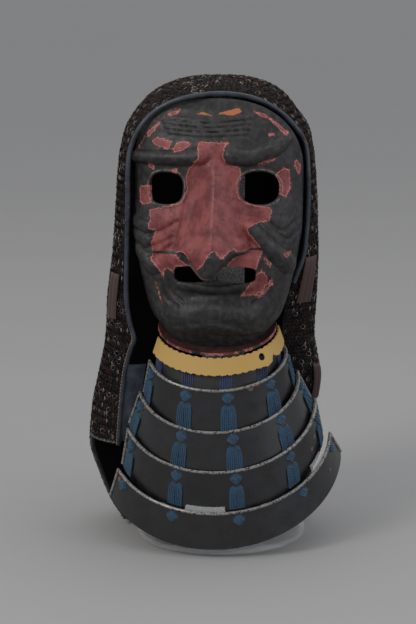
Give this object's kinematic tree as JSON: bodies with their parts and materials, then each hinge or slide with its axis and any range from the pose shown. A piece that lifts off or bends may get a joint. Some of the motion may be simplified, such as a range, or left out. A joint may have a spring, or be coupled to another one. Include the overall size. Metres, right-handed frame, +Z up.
{
  "type": "samurai face guard on a clear stand",
  "caption": "Full-face lacquered mask with a mail hood, gilt neck band and laced throat guard, standing on a clear acrylic display stand.",
  "frame": {"origin": "on the table, under the middle of the whole", "axes": "+Z up, the face looks along -Y, +X to the viewer's right"},
  "size_m": [0.2564, 0.24, 0.459],
  "materials": {
    "lacquer": "worn rose-red lacquer flaking from black, semi-matt",
    "black_lacquer": "black lacquer, satin, worn at the rims",
    "gilt_leather": "gilt leather stencilled with small dark scrolls",
    "black_leather": "black lacquered leather",
    "indigo_lace": "braided silk, indigo",
    "mail": "blackened iron mail sewn to dark cloth",
    "edge_leather": "blue-black leather, rubbed",
    "brown_leather": "dark reddish-brown leather, ribbed",
    "clear_plastic": "clear acrylic, polished edges"
  },
  "bodies": {
    "root": {"mask_shell": "lacquer", "gilt_band": "gilt_leather", "inner_band": "black_leather", "lame_1": "black_lacquer", "lame_2": "black_lacquer", "lame_3": "black_lacquer", "lame_4": "black_lacquer", "lace_1": "indigo_lace", "lace_2": "indigo_lace", "lace_3": "indigo_lace", "lace_4": "indigo_lace", "lace_5": "indigo_lace", "mail_hood": "mail", "hood_piping": "edge_leather", "edge_facing": "edge_leather", "ribbed_patch_left": "brown_leather", "ribbed_patch_right_upper": "brown_leather", "ribbed_patch_right_lower": "brown_leather", "stand_base": "clear_plastic", "stand_upright": "clear_plastic", "stand_skirt": "clear_plastic"}
  },
  "joints": []
}
